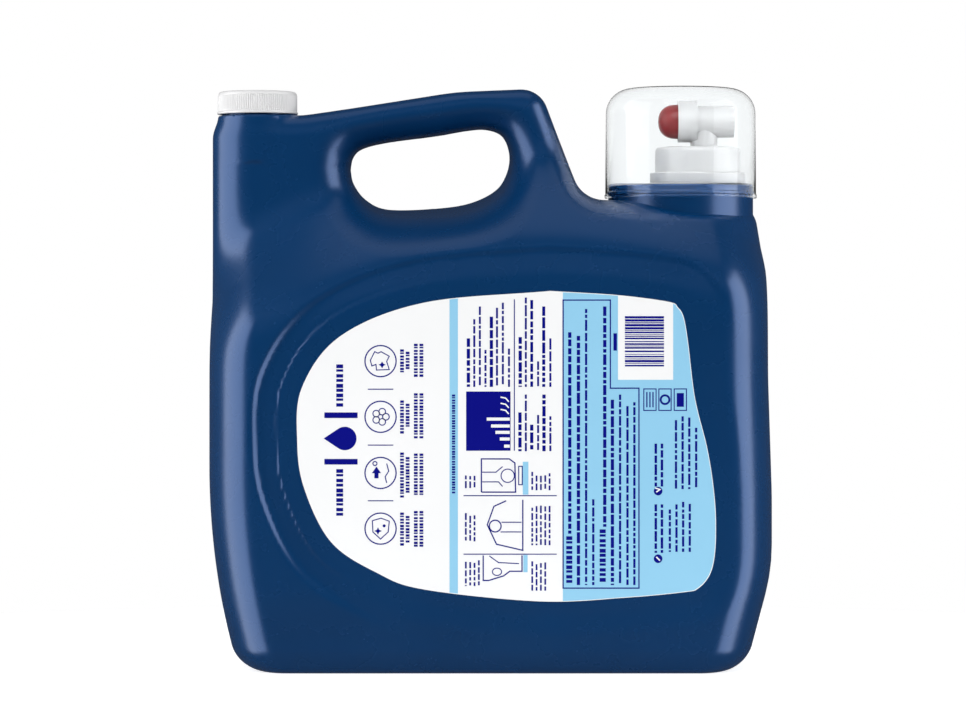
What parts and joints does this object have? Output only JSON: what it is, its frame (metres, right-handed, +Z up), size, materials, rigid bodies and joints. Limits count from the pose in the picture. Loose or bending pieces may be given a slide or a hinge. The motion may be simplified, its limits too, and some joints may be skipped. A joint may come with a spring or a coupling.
{
  "type": "laundry detergent bottle",
  "caption": "Large handled detergent bottle with a press tap under a clear dosing cup and a vented screw cap.",
  "frame": {"origin": "on the surface the bottle stands on, under the middle of its body", "axes": "+Z up as the bottle stands, X along its width with the tap at +X, Y through its depth with the label seen in the picture on -Y"},
  "size_m": [0.2886, 0.138, 0.3008],
  "materials": {
    "bottle_blue": "blow-moulded polyethylene, dark blue, satin gloss",
    "label_film": "printed film label",
    "cap_white": "moulded white plastic",
    "foam_liner": "foamed liner",
    "cup_clear": "clear moulded plastic",
    "tap_white": "moulded white plastic",
    "button_red": "moulded red plastic",
    "seal_rubber": "moulded seal",
    "spring_steel": "stainless spring wire"
  },
  "bodies": {
    "body": {"bottle": "bottle_blue", "back_label": "label_film", "front_label": "label_film", "tap_collar": "cap_white", "neck_gasket": "seal_rubber", "tap_body": "tap_white", "button_ring": "tap_white", "stem_o_ring": "seal_rubber", "return_spring": "spring_steel"},
    "measuring_cup": {"dosing_cup": "cup_clear"},
    "vent_lift": {"vent_cap_liner": "foam_liner"},
    "vent_screw": {"vent_cap": "cap_white"},
    "tap_button": {"push_button": "button_red", "valve_stem": "tap_white", "valve_seal": "seal_rubber"}
  },
  "joints": [
    {"name": "cup_lift", "type": "slide", "parent": "body", "child": "measuring_cup", "axis": [0, 0, 1], "range_m": [0, 0.06]},
    {"name": "vent_cap_lift", "type": "slide", "parent": "body", "child": "vent_lift", "axis": [0, 0, 1], "range_m": [0, 0.015]},
    {"name": "vent_cap_turn", "type": "hinge", "parent": "vent_lift", "child": "vent_screw", "pos_m": [-0.1211, 0, 0.2866], "axis": [0, 0, 1], "range_deg": [0, 1260]},
    {"name": "button_press", "type": "slide", "parent": "body", "child": "tap_button", "axis": [1, 0, 0], "range_m": [0, 0.004], "stiffness_N_per_m": 1500, "springref_m": -0.003, "deforming": ["return_spring"]}
  ],
  "couplings": [
    {"joint": "vent_cap_lift", "follows": "vent_cap_turn", "m_per_rad": 0.000673}
  ]
}
